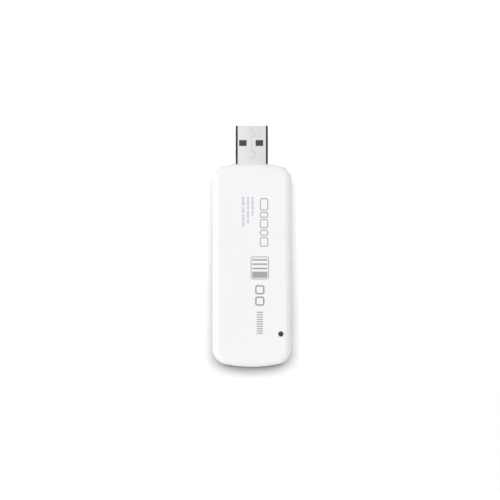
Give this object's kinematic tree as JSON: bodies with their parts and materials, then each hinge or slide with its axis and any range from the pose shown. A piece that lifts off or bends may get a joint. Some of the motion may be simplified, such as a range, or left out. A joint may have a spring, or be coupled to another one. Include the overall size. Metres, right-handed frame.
{
  "type": "smart home usb radio stick",
  "caption": "Flat white pebble-edged USB stick that holds a radio, a battery and a board, with a type A plug, an action button with a light ring and a reset pinhole.",
  "frame": {"origin": "middle of the part's plan box, on the plane of the front face that it lies on", "axes": "+X across the body, +Y from the tail to the plug's tip, +Z from the front face to the back face"},
  "size_m": [0.0294, 0.0898, 0.009],
  "materials": {
    "white_shell": "moulded white ABS, fine satin",
    "button_plastic": "moulded white ABS, satin",
    "clear_ring": "milky clear moulded light guide",
    "plug_steel": "folded steel sheet, nickel plated",
    "contact_gold": "gold plated strip",
    "insulator_black": "moulded black",
    "main_board_green": "solder mask on glass board",
    "module_board_green": "solder mask on glass board",
    "cell_foil": "laminated pouch foil",
    "foam_pad": "foam tape",
    "lead_red": "insulated wire",
    "lead_black": "insulated wire",
    "shield_tin": "tin plated sheet",
    "coil_copper": "bare wound wire",
    "chip_black": "moulded package",
    "ferrite": "pressed ferrite",
    "tantalum_yellow": "moulded package",
    "ceramic_tan": "fired ceramic",
    "switch_black": "moulded black",
    "dome_steel": "spring sheet",
    "light_white": "clear cast over a white base"
  },
  "bodies": {
    "stick": {"front_shell": "white_shell", "back_shell": "white_shell", "light_ring": "clear_ring", "plug_shell": "plug_steel", "supply_contact": "contact_gold", "data_minus_contact": "contact_gold", "data_plus_contact": "contact_gold", "ground_contact": "contact_gold", "plug_insulator": "insulator_black", "main_board": "main_board_green", "radio_module_board": "module_board_green", "battery_protection_board": "module_board_green", "battery_cell": "cell_foil", "battery_pad": "foam_pad", "battery_lead_positive": "lead_red", "battery_lead_negative": "lead_black", "radio_shield_can": "shield_tin", "crystal_can": "shield_tin", "antenna_coil": "coil_copper", "radio_chip": "chip_black", "controller_chip": "chip_black", "usb_bridge_chip": "chip_black", "charger_chip": "chip_black", "chip_resistors": "chip_black", "power_inductor": "ferrite", "bulk_capacitor": "tantalum_yellow", "ceramic_capacitors": "ceramic_tan", "action_switch_case": "switch_black", "reset_switch_case": "switch_black", "action_switch_dome": "dome_steel", "reset_switch_dome": "dome_steel", "light_left": "light_white", "light_right": "light_white"},
    "action_button": {"action_button": "button_plastic", "action_switch_plunger": "switch_black"},
    "reset_plunger": {"reset_switch_plunger": "switch_black"}
  },
  "joints": [
    {"name": "action_button_press", "type": "slide", "parent": "stick", "child": "action_button", "axis": [0, 0, 1], "range_m": [0, 0.00025], "stiffness_N_per_m": 4000},
    {"name": "reset_button_press", "type": "slide", "parent": "stick", "child": "reset_plunger", "axis": [0, 0, -1], "range_m": [0, 0.00025], "stiffness_N_per_m": 4000}
  ]
}
